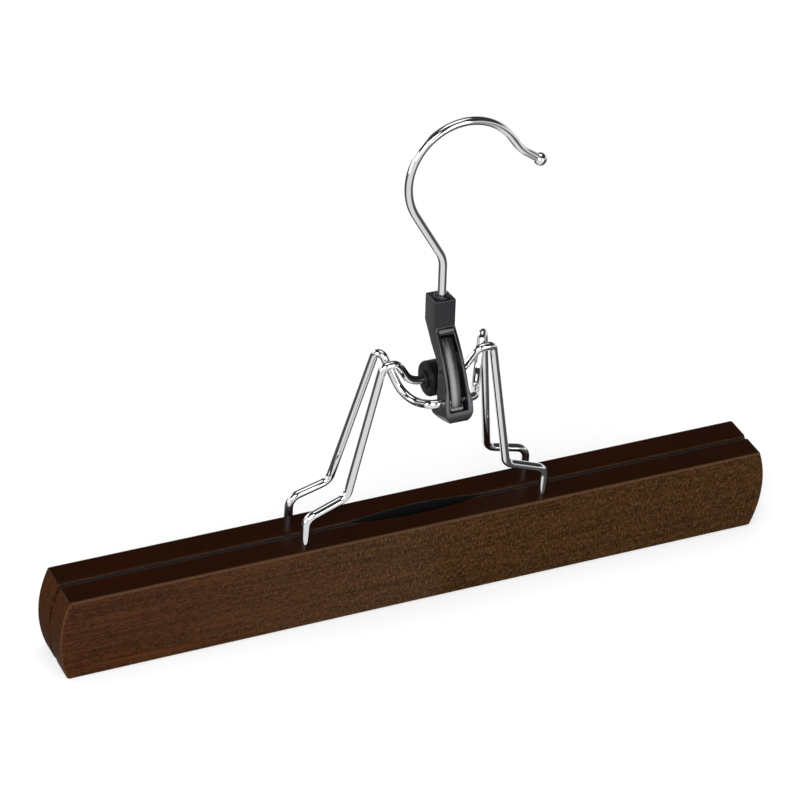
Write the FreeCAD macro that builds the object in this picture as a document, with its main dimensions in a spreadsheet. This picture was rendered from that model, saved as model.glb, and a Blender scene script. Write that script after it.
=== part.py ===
import FreeCAD, Part
import math
import os
import Sketcher

# Skirt hanger: two hinged wooden jaw bars on bent wire frames, closed by a cam lever clasp,
# hung from a swivelling wire hook. Millimetres; +Z up, X along the bars, -Y is the front.
# The origin lies under the middle of the closed jaws, on the plane where they meet.

Vector = FreeCAD.Vector
doc = FreeCAD.newDocument("skirt_hanger")

# Driving dimensions, in millimetres and degrees.
sizes = [
    ("bar_length", "250"),
    ("bar_height", "30"),
    ("bar_thickness", "9.5"),
    ("bar_edge_radius", "1"),
    ("bar_end_bulge", "3"),
    ("relief_length", "47"),
    ("relief_depth", "2.4"),
    ("lining_thickness", "0.6"),
    ("lining_inset", "0.6"),
    ("lining_end_inset", "4"),
    ("jaw_gap", "0.1"),
    ("pin_spacing", "84"),
    ("pin_offset", "6.5"),
    ("pin_depth", "18"),
    ("pin_clearance", "0.02"),
    ("wire_diameter", "2.8"),
    ("foot_bend_radius", "4"),
    ("leg_spacing", "56"),
    ("front_foot_outer_rise", "10.3"),
    ("front_foot_inner_rise", "15.2"),
    ("front_leg_offset", "5.8"),
    ("rear_foot_outer_rise", "9.5"),
    ("rear_foot_inner_rise", "12.3"),
    ("rear_leg_offset", "7.8"),
    ("linkage_height", "77.7"),
    ("pivot_offset", "5.7"),
    ("pivot_height", "14.9"),
    ("pivot_spacing", "32.9"),
    ("pivot_run", "2.1"),
    ("pivot_clearance", "0.3"),
    ("pivot_bend_radius", "2"),
    ("rear_peak_rise", "4.2"),
    ("rear_peak_spacing", "0.4"),
    ("lever_shaft_offset", "18.1"),
    ("lever_shaft_height", "6.2"),
    ("lever_shaft_length", "5.2"),
    ("lever_shaft_bend_radius", "3.2"),
    ("arm_dip_spacing", "24.2"),
    ("arm_dip_offset", "8.8"),
    ("arm_dip_height", "3"),
    ("arm_bend_radius", "9"),
    ("roller_shaft_offset", "5.2"),
    ("roller_shaft_height", "6.2"),
    ("roller_shaft_length", "8.6"),
    ("roller_shaft_bend_radius", "7"),
    ("roller_radius", "5.7"),
    ("roller_length", "8.4"),
    ("roller_boss_radius", "2.9"),
    ("roller_boss_height", "0.7"),
    ("roller_rim_chamfer", "0.6"),
    ("running_clearance", "0.05"),
    ("jaw_travel", "15"),
    ("lever_travel", "90"),
    ("clasp_slant", "26"),
    ("clasp_width", "9.6"),
    ("clasp_waist_width", "7.9"),
    ("clasp_waist_height", "4"),
    ("clasp_rim_front", "3.6"),
    ("clasp_rim_foot", "4.6"),
    ("clasp_rim_radius", "52"),
    ("clasp_neck_back", "2.65"),
    ("clasp_neck_height", "7.45"),
    ("clasp_back_offset", "0.2"),
    ("clasp_back_height", "11.5"),
    ("clasp_seat_back", "2.6"),
    ("clasp_seat_height", "3"),
    ("clasp_heel_back", "7.2"),
    ("clasp_heel_top", "0.9"),
    ("clasp_heel_foot", "3.5"),
    ("clasp_heel_bevel", "1.2"),
    ("clasp_chin_back", "1.8"),
    ("clasp_chin_foot", "7.4"),
    ("clasp_corner_rise", "3.6"),
    ("clasp_corner_radius", "4.9"),
    ("clasp_foot_width", "2.4"),
    ("lip_radius", "0.5"),
    ("lip_width", "5.6"),
    ("lip_height", "1.8"),
    ("lip_front", "0.9"),
    ("nub_length", "1.6"),
    ("nub_width", "1.4"),
    ("nub_depth", "1.2"),
    ("channel_top_width", "4.6"),
    ("channel_base_width", "6"),
    ("channel_floor", "1.6"),
    ("channel_top", "2.5"),
    ("channel_foot", "3"),
    ("cam_offset", "1.72"),
    ("cam_width", "4.4"),
    ("cam_gap", "0.25"),
    ("cam_side_clearance", "0.4"),
    ("cam_room_top", "9.2"),
    ("cam_room_front", "2.6"),
    ("lever_front", "2"),
    ("lever_boss_radius", "2.35"),
    ("lever_side_clearance", "0.28"),
    ("rib_width", "3.8"),
    ("rib_front", "2.1"),
    ("rib_back", "0.6"),
    ("rib_tip_front", "1"),
    ("rib_top", "0.9"),
    ("rib_foot", "2.1"),
    ("block_width", "7"),
    ("block_front", "3.1"),
    ("block_back", "4.4"),
    ("block_height", "9"),
    ("block_top_offset", "13.9"),
    ("block_top_height", "36"),
    ("collar_radius", "2.5"),
    ("collar_height", "0.8"),
    ("hook_lean", "6"),
    ("hook_wire_diameter", "2.8"),
    ("hook_bend_height", "13.2"),
    ("hook_bend_radius", "9"),
    ("hook_radius", "18.9"),
    ("hook_center_offset", "6.4"),
    ("hook_center_height", "39.2"),
    ("hook_leave_angle", "36"),
    ("hook_tip_drop", "5.6"),
    ("hook_tip_turn", "20"),
    ("hook_tip_bend_radius", "16"),
    ("hook_tip_length", "8.3"),
    ("hook_ball_radius", "2.2"),
    ("hook_bearing", "5"),
    ("washer_radius", "2.2"),
    ("washer_thickness", "0.6"),
    ("head_radius", "2"),
    ("head_height", "1.4"),
    ("head_room_width", "0.4"),
    ("head_room_height", "1.2"),
    ("head_room_front", "0.2"),
]

sheet = doc.addObject("Spreadsheet::Sheet", "Sizes")
for row, (alias, text) in enumerate(sizes, start=1):
    sheet.set("A%d" % row, alias)
    sheet.set("B%d" % row, text)
    sheet.setAlias("B%d" % row, alias)
doc.recompute()


class Size:
    # A length with its value and the sheet expression that it comes from.

    def __init__(self, value, text):
        self.value = float(value)
        self.text = text

    def __add__(self, other):
        other = fixed(other)
        return Size(self.value + other.value, "(%s + %s)" % (self.text, other.text))

    def __sub__(self, other):
        other = fixed(other)
        return Size(self.value - other.value, "(%s - %s)" % (self.text, other.text))

    def __mul__(self, other):
        other = fixed(other)
        return Size(self.value * other.value, "(%s * %s)" % (self.text, other.text))

    def __truediv__(self, other):
        other = fixed(other)
        return Size(self.value / other.value, "(%s / %s)" % (self.text, other.text))

    def __neg__(self):
        return Size(-self.value, "(0 - %s)" % self.text)


def fixed(number):
    if isinstance(number, Size):
        return number
    return Size(number, repr(float(number)))


def size(alias):
    return Size(sheet.get(alias), "Sizes." + alias)


def value(alias):
    return float(sheet.get(alias))


def addDerived(alias, number):
    # A size that follows from the others, kept in the sheet under its own name.
    row = len(sizes) + 1
    while sheet.getContents("A%d" % row):
        row += 1
    sheet.set("A%d" % row, alias)
    sheet.set("B%d" % row, repr(round(number, 6)))
    sheet.setAlias("B%d" % row, alias)
    doc.recompute()


# Lengths that follow from the pieces they serve: the pivot run leaves its clear length between
# the wire's arm and leg, the shafts stand clear of the clasp and of the roller, and the head
# room stands clear of the washer and the head.
addDerived("run_length", value("wire_diameter") + value("pivot_run"))
addDerived("lever_shaft_span", value("clasp_width") + value("lever_shaft_length"))
addDerived("roller_shaft_span", value("roller_length") + value("roller_shaft_length"))
addDerived("head_space_front", value("washer_radius") + value("head_room_front"))
addDerived("head_space_width", value("washer_radius") * 2 + value("head_room_width"))
headStack = value("washer_thickness") + value("head_height") + value("running_clearance") * 2
addDerived("head_space_height", headStack + value("head_room_height"))



def newBody(name):
    body = doc.addObject("PartDesign::Body", name)
    body.Label = name
    return body


def newSketch(body, name, role, offset=None):
    sketch = body.newObject("Sketcher::SketchObject", name)
    plane = [feature for feature in body.Origin.OriginFeatures if feature.Role == role][0]
    sketch.AttachmentSupport = [(plane, "")]
    sketch.MapMode = "FlatFace"
    if offset is not None:
        sketch.setExpression("AttachmentOffset.Base.z", offset.text)
    doc.recompute()
    return sketch


def bind(sketch, kind, arguments, amount):
    index = sketch.addConstraint(Sketcher.Constraint(kind, *arguments, amount.value))
    sketch.renameConstraint(index, "size_%d" % index)
    sketch.setExpression("Constraints.size_%d" % index, amount.text)


def arcCenter(start, end, radius, left):
    chord = end - start
    half = chord.Length / 2
    away = math.sqrt(radius * radius - half * half)
    side = Vector(-chord.y, chord.x, 0).normalize()
    if not left:
        side = side * -1
    return (start + end) * 0.5 + side * away


def addOutline(sketch, corners, arcs=None):
    # A closed outline through corners; arcs gives, by the corner that an arc starts from,
    # its radius and whether its centre is left of the way round.
    arcs = arcs or {}
    points = [Vector(fixed(x).value, fixed(y).value, 0) for x, y in corners]
    ends = []
    for index, start in enumerate(points):
        end = points[(index + 1) % len(points)]
        if index in arcs:
            radius, left = arcs[index]
            center = arcCenter(start, end, radius.value, left)
            first, last = (start, end) if left else (end, start)
            circle = Part.Circle(center, Vector(0, 0, 1), radius.value)
            firstAngle = math.atan2(first.y - center.y, first.x - center.x)
            lastAngle = math.atan2(last.y - center.y, last.x - center.x)
            edge = sketch.addGeometry(Part.ArcOfCircle(circle, firstAngle, lastAngle))
            ends.append((edge, 1, 2) if left else (edge, 2, 1))
        else:
            edge = sketch.addGeometry(Part.LineSegment(start, end))
            ends.append((edge, 1, 2))
    for index, (edge, first, last) in enumerate(ends):
        following = ends[(index + 1) % len(ends)]
        sketch.addConstraint(Sketcher.Constraint("Coincident", edge, last, following[0], following[1]))
    for index, (x, y) in enumerate(corners):
        edge, first, last = ends[index]
        bind(sketch, "DistanceX", (-1, 1, edge, first), fixed(x))
        bind(sketch, "DistanceY", (-1, 1, edge, first), fixed(y))
    for index, (radius, left) in arcs.items():
        bind(sketch, "Radius", (ends[index][0],), radius)
    doc.recompute()


def addCircle(sketch, x, y, radius):
    center = Vector(fixed(x).value, fixed(y).value, 0)
    edge = sketch.addGeometry(Part.Circle(center, Vector(0, 0, 1), radius.value))
    bind(sketch, "DistanceX", (-1, 1, edge, 3), fixed(x))
    bind(sketch, "DistanceY", (-1, 1, edge, 3), fixed(y))
    bind(sketch, "Radius", (edge,), radius)
    doc.recompute()


def addRectangle(sketch, low, high):
    corners = [(low[0], low[1]), (high[0], low[1]), (high[0], high[1]), (low[0], high[1])]
    addOutline(sketch, corners)


def addPad(body, sketch, length, middle=False, backwards=False):
    pad = body.newObject("PartDesign::Pad", sketch.Name + "_pad")
    pad.Profile = sketch
    pad.setExpression("Length", length.text)
    pad.SideType = "Symmetric" if middle else "One side"
    pad.Reversed = backwards
    body.Tip = pad
    doc.recompute()
    return pad


def addPocket(body, sketch, length, middle=False, backwards=False):
    before = body.Shape.Volume
    pocket = body.newObject("PartDesign::Pocket", sketch.Name + "_pocket")
    pocket.Profile = sketch
    pocket.setExpression("Length", length.text)
    pocket.SideType = "Symmetric" if middle else "One side"
    pocket.Reversed = backwards
    body.Tip = pocket
    doc.recompute()
    if body.Shape.Volume >= before - 1e-6:
        raise ValueError(sketch.Name + " removes nothing")
    return pocket


# Jaw bars: wood with convex ends, rounded edges, a shallow hollow in the clamping face and
# two blind pin holes in the top edge. The rear bar is the front one turned round.
def makeBar(name, turn):
    body = newBody(name)
    inner = size("jaw_gap") / 2 + size("lining_thickness")
    corner = size("bar_length") / 2 - size("bar_end_bulge")
    bulge = size("bar_end_bulge")
    endRadius = (size("bar_height") * size("bar_height") / 4 + bulge * bulge) / (bulge * 2)
    face = newSketch(body, name + "_face", "XZ_Plane", inner)
    corners = [
        (-corner, 0),
        (corner, 0),
        (corner, size("bar_height")),
        (-corner, size("bar_height")),
    ]
    addOutline(face, corners, {1: (endRadius, True), 3: (endRadius, True)})
    plank = addPad(body, face, size("bar_thickness"))
    edges = ["Edge%d" % (index + 1) for index in range(len(plank.Shape.Edges))]
    rounding = body.newObject("PartDesign::Fillet", name + "_rounding")
    rounding.Base = (plank, edges)
    rounding.setExpression("Radius", "Sizes.bar_edge_radius")
    body.Tip = rounding
    doc.recompute()
    half = size("relief_length") / 2
    depth = size("relief_depth")
    reliefRadius = (half * half + depth * depth) / (depth * 2)
    relief = newSketch(body, name + "_relief", "XY_Plane")
    reliefCorners = [
        (-half, -inner),
        (half, -inner),
        (half, -inner + size("bar_thickness") / 4),
        (-half, -inner + size("bar_thickness") / 4),
    ]
    addOutline(relief, reliefCorners, {0: (reliefRadius, True)})
    addPocket(body, relief, size("bar_height") * 3, middle=True)
    holes = newSketch(body, name + "_holes", "XY_Plane", size("bar_height"))
    for side in (-1, 1):
        holeRadius = size("wire_diameter") / 2 + size("pin_clearance")
        addCircle(holes, size("pin_spacing") / 2 * side, -size("pin_offset"), holeRadius)
    addPocket(body, holes, size("pin_depth") + size("pin_clearance"))
    body.Placement = FreeCAD.Placement(Vector(0, 0, 0), FreeCAD.Rotation(Vector(0, 0, 1), turn))
    return body


# Linings: a felt strip on each clamping face, following the hollow.
def makeLining(name, turn):
    body = newBody(name)
    outer = size("jaw_gap") / 2 + size("lining_thickness")
    inner = size("jaw_gap") / 2
    end = size("bar_length") / 2 - size("lining_end_inset")
    half = size("relief_length") / 2
    depth = size("relief_depth")
    outerRadius = (half * half + depth * depth) / (depth * 2)
    innerRadius = outerRadius - size("lining_thickness")
    innerHalf = half * innerRadius / outerRadius
    plan = newSketch(body, name + "_plan", "XY_Plane", size("lining_inset"))
    corners = [
        (-end, -outer),
        (-half, -outer),
        (half, -outer),
        (end, -outer),
        (end, -inner),
        (innerHalf, -inner),
        (-innerHalf, -inner),
        (-end, -inner),
    ]
    addOutline(plan, corners, {1: (outerRadius, True), 5: (innerRadius, False)})
    addPad(body, plan, size("bar_height") - size("lining_inset") * 2)
    body.Placement = FreeCAD.Placement(Vector(0, 0, 0), FreeCAD.Rotation(Vector(0, 0, 1), turn))
    return body


frontBar = makeBar("front_bar", 0)
rearBar = makeBar("rear_bar", 180)
frontLining = makeLining("front_lining", 0)
rearLining = makeLining("rear_lining", 180)


def bentPath(points, radii):
    # Straight runs through points, with an arc of the given radius, tangent to both runs, at each
    # inner point.
    edges = []
    start = points[0]
    for before, corner, after, radius in zip(points, points[1:], points[2:], radii):
        inward = (corner - before).normalize()
        outward = (after - corner).normalize()
        turn = inward.getAngle(outward)
        setback = radius * math.tan(turn / 2)
        arcStart = corner - inward * setback
        arcEnd = corner + outward * setback
        bisector = (outward - inward).normalize()
        toCenter = radius / math.cos(turn / 2)
        middle = corner + bisector * (toCenter - radius)
        edges.append(Part.LineSegment(start, arcStart).toShape())
        edges.append(Part.Arc(arcStart, middle, arcEnd).toShape())
        start = arcEnd
    edges.append(Part.LineSegment(start, points[-1]).toShape())
    return Part.Wire(edges)


def mirrored(points):
    # Points from the left end to the middle, carried on to the right end.
    return points + [Vector(-point.x, point.y, point.z) for point in reversed(points)]


def addSweep(name, path, diameter, start, lean=0):
    # A round rod along path, from start, where the path sets off upwards.
    spine = doc.addObject("Part::Feature", name + "_path")
    spine.Shape = path
    section = doc.addObject("Part::Circle", name + "_section")
    section.setExpression("Radius", (diameter / 2).text)
    section.Placement = FreeCAD.Placement(start, FreeCAD.Rotation(Vector(-1, 0, 0), lean))
    sweep = doc.addObject("Part::Sweep", name)
    sweep.Sections = [section]
    sweep.Spine = (spine, ["Edge%d" % (index + 1) for index in range(len(path.Edges))])
    sweep.Solid = True
    sweep.Frenet = False
    doc.recompute()
    return sweep


def tangentFrom(point, center, radius, clockwise):
    # Direction from point along the line that touches the circle, in the YZ plane.
    toCenter = center - point
    angle = math.asin(radius / toCenter.Length)
    if clockwise:
        angle = -angle
    turn = FreeCAD.Rotation(Vector(1, 0, 0), math.degrees(angle))
    return turn.multVec(toCenter).normalize()


barTop = value("bar_height")
pinX = -value("pin_spacing") / 2
legX = -value("leg_spacing") / 2
pinFoot = barTop - value("pin_depth")
wireSpace = value("wire_diameter") + value("pivot_clearance")
# The linkage's heights are measured from its foot, and the roller stands off the clasp's seat.
linkage = value("linkage_height")
leverShaft = Vector(0, -value("lever_shaft_offset"), linkage + value("lever_shaft_height"))
pivot = Vector(0, -value("pivot_offset"), linkage + value("pivot_height"))
shaftSpacing = value("clasp_seat_back") + value("roller_shaft_offset") + value("roller_radius")
rollerShaft = Vector(0, leverShaft.y + shaftSpacing, linkage + value("roller_shaft_height"))

# Front wire: up from the front bar, over a short straight run on the jaw pivot axis, then down
# to the shaft that carries the roller.
pivotOut = -(value("pivot_spacing") + value("run_length")) / 2
pivotIn = -(value("pivot_spacing") - value("run_length")) / 2
rollerEnd = Vector(-value("roller_shaft_span") / 2, rollerShaft.y, rollerShaft.z)
frontPoints = mirrored([
    Vector(pinX, -value("pin_offset"), pinFoot),
    Vector(pinX, -value("pin_offset"), barTop + value("front_foot_outer_rise")),
    Vector(legX, -value("front_leg_offset"), barTop + value("front_foot_inner_rise")),
    Vector(pivotOut, pivot.y, pivot.z),
    Vector(pivotIn, pivot.y, pivot.z),
    rollerEnd,
])
footRadius = value("foot_bend_radius")
halfRadii = [
    footRadius,
    footRadius,
    value("pivot_bend_radius"),
    value("pivot_bend_radius") * 1.5,
    value("roller_shaft_bend_radius"),
]
frontPath = bentPath(frontPoints, halfRadii + halfRadii[::-1])
frontWire = addSweep("front_wire", frontPath, size("wire_diameter"), frontPoints[0])

# Rear wire: up from the rear bar to a peak behind the pivot run, then forward and down under
# that run at wire spacing to the shaft that the clasp sits on. The peak lies as far out as lets
# this arm pass the front wire's arm at wire spacing, and the peaks' own spacing further.
leverEnd = Vector(-value("lever_shaft_span") / 2, leverShaft.y, leverShaft.z)
rearLeg = Vector(legX, value("rear_leg_offset"), barTop + value("rear_foot_inner_rise"))
armDip = Vector(
    -value("arm_dip_spacing") / 2,
    leverShaft.y + value("arm_dip_offset"),
    linkage + value("arm_dip_height"),
)
armFlat = Vector(0, armDip.y, armDip.z)
armWay = tangentFrom(armFlat, pivot, wireSpace, True)
peakRise = pivot.z + value("rear_peak_rise") - armFlat.z
peak = armFlat + armWay * (peakRise / armWay.z)
frontArm = Part.LineSegment(Vector(pivotIn, pivot.y, pivot.z), rollerEnd).toShape()
near = -armDip.x
far = -legX
for halving in range(40):
    peak.x = -(near + far) / 2
    rearArm = Part.LineSegment(peak, armDip).toShape()
    if rearArm.distToShape(frontArm)[0] < wireSpace:
        near = -peak.x
    else:
        far = -peak.x
peak.x = -far - value("rear_peak_spacing") / 2
rearPoints = mirrored([
    Vector(pinX, value("pin_offset"), pinFoot),
    Vector(pinX, value("pin_offset"), barTop + value("rear_foot_outer_rise")),
    rearLeg,
    peak,
    armDip,
    leverEnd,
])
halfRadii = [
    footRadius,
    footRadius,
    value("pivot_bend_radius"),
    value("arm_bend_radius"),
    value("lever_shaft_bend_radius"),
]
rearPath = bentPath(rearPoints, halfRadii + halfRadii[::-1])
rearWire = addSweep("rear_wire", rearPath, size("wire_diameter"), rearPoints[0])

# Cam radius: the disc clears the roller by the cam gap over the whole travel of lever and jaw.
slant = value("clasp_slant")
steps = 40
clear = []
for step in range(steps + 1):
    share = step / steps
    jawTurn = FreeCAD.Rotation(Vector(-1, 0, 0), value("jaw_travel") * share)
    roller = pivot + jawTurn.multVec(rollerShaft - pivot)
    leverTurn = FreeCAD.Rotation(Vector(1, 0, 0), value("lever_travel") * share - slant)
    camCenter = leverShaft + leverTurn.multVec(Vector(0, 0, value("cam_offset")))
    clear.append((roller - camCenter).Length)
addDerived("cam_radius", min(clear) - value("roller_radius") - value("cam_gap"))
print("rear peak out", -peak.x, "cam radius", value("cam_radius"), "centre distances", round(min(clear), 3), round(max(clear), 3))

claspFrame = FreeCAD.Placement(leverShaft, FreeCAD.Rotation(Vector(-1, 0, 0), slant))
blockTop = Vector(
    0,
    leverShaft.y + value("block_top_offset"),
    linkage + value("block_top_height"),
)
hookTurn = FreeCAD.Rotation(Vector(-1, 0, 0), value("hook_lean"))
hookFrame = FreeCAD.Placement(blockTop, hookTurn)

# Clasp arm: slanted arm with two cheeks and an open channel, drawn about the lever shaft with
# its own Z up the slant and its Y to the back. Its top is let into the block.
def blockPoint(back, height):
    return claspFrame.inverse().multVec(hookFrame.multVec(Vector(0, back, height)))


let = value("collar_height") * 2
topPoints = [
    ("arm_front_foot", blockPoint(-value("block_front"), -value("block_height"))),
    ("arm_front_top", blockPoint(-value("block_front"), let - value("block_height"))),
    ("arm_back_top", blockPoint(value("block_back"), let - value("block_height"))),
    ("arm_back_foot", blockPoint(value("block_back"), -value("block_height"))),
]
for alias, point in topPoints:
    addDerived(alias + "_back", point.y)
    addDerived(alias + "_height", point.z)
addDerived("channel_end", value("arm_front_foot_height") - value("channel_top"))
addDerived("rib_end", value("channel_end") - value("rib_top"))
arm = newBody("clasp_arm")
side = newSketch(arm, "arm_side", "YZ_Plane")
bevel = size("clasp_heel_bevel")
sideCorners = [
    (-size("clasp_rim_front"), -size("clasp_rim_foot")),
    (-size("clasp_rim_front") + bevel / 4, -size("clasp_rim_foot") - bevel),
    (-size("clasp_chin_back"), -size("clasp_chin_foot")),
    (size("clasp_heel_back") - bevel, -size("clasp_heel_foot") - bevel / 2),
    (size("clasp_heel_back"), -size("clasp_heel_foot") + bevel / 2),
    (size("clasp_heel_back") - bevel, -size("clasp_heel_top")),
    (size("clasp_seat_back"), -size("clasp_heel_top")),
    (size("clasp_seat_back"), size("clasp_seat_height")),
    (size("clasp_back_offset"), size("clasp_back_height")),
    (
        size("arm_back_foot_back") - size("clasp_neck_back"),
        size("arm_back_foot_height") - size("clasp_neck_height"),
    ),
    (size("arm_back_foot_back"), size("arm_back_foot_height")),
    (size("arm_back_top_back"), size("arm_back_top_height")),
    (size("arm_front_top_back"), size("arm_front_top_height")),
    (size("arm_front_foot_back"), size("arm_front_foot_height")),
]
rimRadius = size("clasp_rim_radius")
addOutline(side, sideCorners, {13: (rimRadius, True)})
addPad(arm, side, size("clasp_width"), middle=True)
nub = newSketch(arm, "arm_nub", "YZ_Plane")
addRectangle(
    nub,
    (-size("clasp_chin_back") - size("nub_depth") / 2, -size("clasp_chin_foot") - size("nub_length")),
    (-size("clasp_chin_back") + size("nub_depth") / 2, -size("clasp_chin_foot") + size("nub_length")),
)
addPad(arm, nub, size("nub_width"), middle=True)

# A lip with rounded edges over the head of the channel.
lip = newSketch(arm, "arm_lip", "YZ_Plane")
lipMiddle = size("arm_front_foot_height") - size("channel_top") / 2
lipFront = size("arm_front_foot_back") - size("lip_front")
lipBack = size("arm_front_foot_back") + size("lip_front")
lipHalf = size("lip_height") / 2
lipRound = size("lip_radius")
lipCorners = [
    (lipFront, lipMiddle - lipHalf + lipRound),
    (lipFront + lipRound, lipMiddle - lipHalf),
    (lipBack, lipMiddle - lipHalf),
    (lipBack, lipMiddle + lipHalf),
    (lipFront + lipRound, lipMiddle + lipHalf),
    (lipFront, lipMiddle + lipHalf - lipRound),
]
addOutline(lip, lipCorners, {0: (lipRound, True), 4: (lipRound, True)})
addPad(arm, lip, size("lip_width"), middle=True)

# Seen from the front the arm is as wide as the block, swells over the shaft and ends in a round.
trim = newSketch(arm, "arm_trim", "XZ_Plane")
outside = size("clasp_width")
low = -size("clasp_chin_foot") - size("nub_length")
for hand in (1, -1):
    trimCorners = [
        (size("clasp_width") / 2 * hand, -size("clasp_chin_foot") + size("clasp_corner_rise")),
        (size("clasp_foot_width") / 2 * hand, -size("clasp_chin_foot")),
        (size("clasp_foot_width") / 2 * hand, low - 1),
        (outside * hand, low - 1),
        (outside * hand, size("arm_back_top_height") + 1),
        (size("block_width") / 2 * hand, size("arm_back_top_height") + 1),
        (size("block_width") / 2 * hand, size("channel_end")),
        (size("clasp_waist_width") / 2 * hand, size("clasp_waist_height")),
        (size("clasp_width") / 2 * hand, -size("clasp_heel_top")),
    ]
    addOutline(trim, trimCorners, {0: (size("clasp_corner_radius"), hand < 0)})
addPocket(arm, trim, size("clasp_width") * 6, middle=True)

channel = newSketch(arm, "arm_channel", "XZ_Plane", -size("channel_floor"))
channelCorners = [
    (-size("channel_base_width") / 2, -size("channel_foot")),
    (size("channel_base_width") / 2, -size("channel_foot")),
    (size("channel_top_width") / 2, size("channel_end")),
    (-size("channel_top_width") / 2, size("channel_end")),
]
addOutline(channel, channelCorners)
addPocket(arm, channel, size("clasp_width") * 2, backwards=True)

room = newSketch(arm, "arm_cam_room", "YZ_Plane")
addRectangle(
    room,
    (-size("cam_room_front"), low - 1),
    (size("clasp_heel_back") + 1, size("cam_room_top")),
)
roomWidth = size("cam_width") + size("cam_side_clearance") * 2
addPocket(arm, room, roomWidth, middle=True)

shaftHole = newSketch(arm, "arm_shaft_hole", "YZ_Plane")
addCircle(shaftHole, 0, 0, size("wire_diameter") / 2 + size("pin_clearance"))
addPocket(arm, shaftHole, size("clasp_width") * 2, middle=True)
arm.Placement = claspFrame

# Clasp block: a box and a collar on the swivel axis, bored for the hook, with a room for its
# head that opens to the back.
block = doc.addObject("Part::Box", "clasp_block")
block.setExpression("Length", "Sizes.block_width")
block.setExpression("Width", "Sizes.block_front + Sizes.block_back")
block.setExpression("Height", "Sizes.block_height")
corner = Vector(-value("block_width") / 2, -value("block_front"), -value("block_height"))
block.Placement = hookFrame.multiply(FreeCAD.Placement(corner, FreeCAD.Rotation()))
collar = doc.addObject("Part::Cylinder", "clasp_collar")
collar.setExpression("Radius", "Sizes.collar_radius")
collar.setExpression("Height", "Sizes.collar_height")
collar.Placement = hookFrame
solid = doc.addObject("Part::MultiFuse", "clasp_solid")
solid.Shapes = [arm, block, collar]
bore = doc.addObject("Part::Cylinder", "clasp_bore")
bore.setExpression("Radius", "Sizes.hook_wire_diameter / 2 + Sizes.running_clearance")
bore.setExpression("Height", "Sizes.hook_bearing + Sizes.collar_height + Sizes.block_height")
bore.Placement = hookFrame.multiply(
    FreeCAD.Placement(Vector(0, 0, -value("hook_bearing")), FreeCAD.Rotation())
)
headRoom = doc.addObject("Part::Box", "clasp_head_room")
headRoom.setExpression("Length", "Sizes.head_space_width")
headRoom.setExpression("Width", "Sizes.head_space_front + Sizes.block_back * 2")
headRoom.setExpression("Height", "Sizes.head_space_height")
corner = Vector(
    -value("head_space_width") / 2,
    -value("head_space_front"),
    -value("hook_bearing") - value("head_space_height"),
)
headRoom.Placement = hookFrame.multiply(FreeCAD.Placement(corner, FreeCAD.Rotation()))
hollow = doc.addObject("Part::MultiFuse", "clasp_hollow")
hollow.Shapes = [bore, headRoom]
claspBody = doc.addObject("Part::Cut", "clasp_body")
claspBody.Base = solid
claspBody.Tool = hollow
claspBody.Label = "clasp_body"
doc.recompute()

# Lock lever: an eccentric cam disc with a flat front, a hub boss on the shaft and a long rib as
# its finger arm, bowed forwards like the rims of the cheeks.
lever = newBody("lock_lever")
disc = newSketch(lever, "lever_disc", "YZ_Plane")
addCircle(disc, 0, size("cam_offset"), size("cam_radius"))
addPad(lever, disc, size("cam_width"), middle=True)
front = newSketch(lever, "lever_flat", "YZ_Plane")
addRectangle(
    front,
    (-size("cam_radius") - 2, size("cam_offset") - size("cam_radius") - 1),
    (-size("lever_front"), size("cam_offset") + size("cam_radius") + 1),
)
addPocket(lever, front, size("cam_width") * 2, middle=True)
rib = newSketch(lever, "lever_rib", "YZ_Plane")
ribCorners = [
    (-size("rib_front"), -size("rib_foot")),
    (size("rib_back"), -size("rib_foot")),
    (size("rib_back"), size("rib_end")),
    (-size("rib_tip_front"), size("rib_end")),
]
addOutline(rib, ribCorners, {3: (size("clasp_rim_radius"), True)})
addPad(lever, rib, size("rib_width"), middle=True)
boss = newSketch(lever, "lever_boss", "YZ_Plane")
addCircle(boss, 0, 0, size("lever_boss_radius"))
addPad(lever, boss, roomWidth - size("lever_side_clearance") * 2, middle=True)
leverHole = newSketch(lever, "lever_hole", "YZ_Plane")
addCircle(leverHole, 0, 0, size("wire_diameter") / 2 + size("running_clearance"))
addPocket(lever, leverHole, size("clasp_width") * 2, middle=True)
lever.Placement = claspFrame

# Cam roller: a spool turned about the roller shaft, with a boss at each end.
rollerBody = newBody("cam_roller")
profile = newSketch(rollerBody, "roller_profile", "XY_Plane")
holeEdge = size("wire_diameter") / 2 + size("running_clearance")
halfRoller = size("roller_length") / 2
drum = halfRoller - size("roller_boss_height")
chamfer = size("roller_rim_chamfer")
profileCorners = [
    (-halfRoller, holeEdge),
    (halfRoller, holeEdge),
    (halfRoller, size("roller_boss_radius")),
    (drum, size("roller_boss_radius")),
    (drum, size("roller_radius") - chamfer),
    (drum - chamfer, size("roller_radius")),
    (chamfer - drum, size("roller_radius")),
    (-drum, size("roller_radius") - chamfer),
    (-drum, size("roller_boss_radius")),
    (-halfRoller, size("roller_boss_radius")),
]
addOutline(profile, profileCorners)
spin = rollerBody.newObject("PartDesign::Revolution", "roller_turning")
spin.Profile = profile
spin.ReferenceAxis = (profile, ["H_Axis"])
spin.Angle = 360
rollerBody.Tip = spin
doc.recompute()
rollerBody.Placement = FreeCAD.Placement(rollerShaft, FreeCAD.Rotation())

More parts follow.
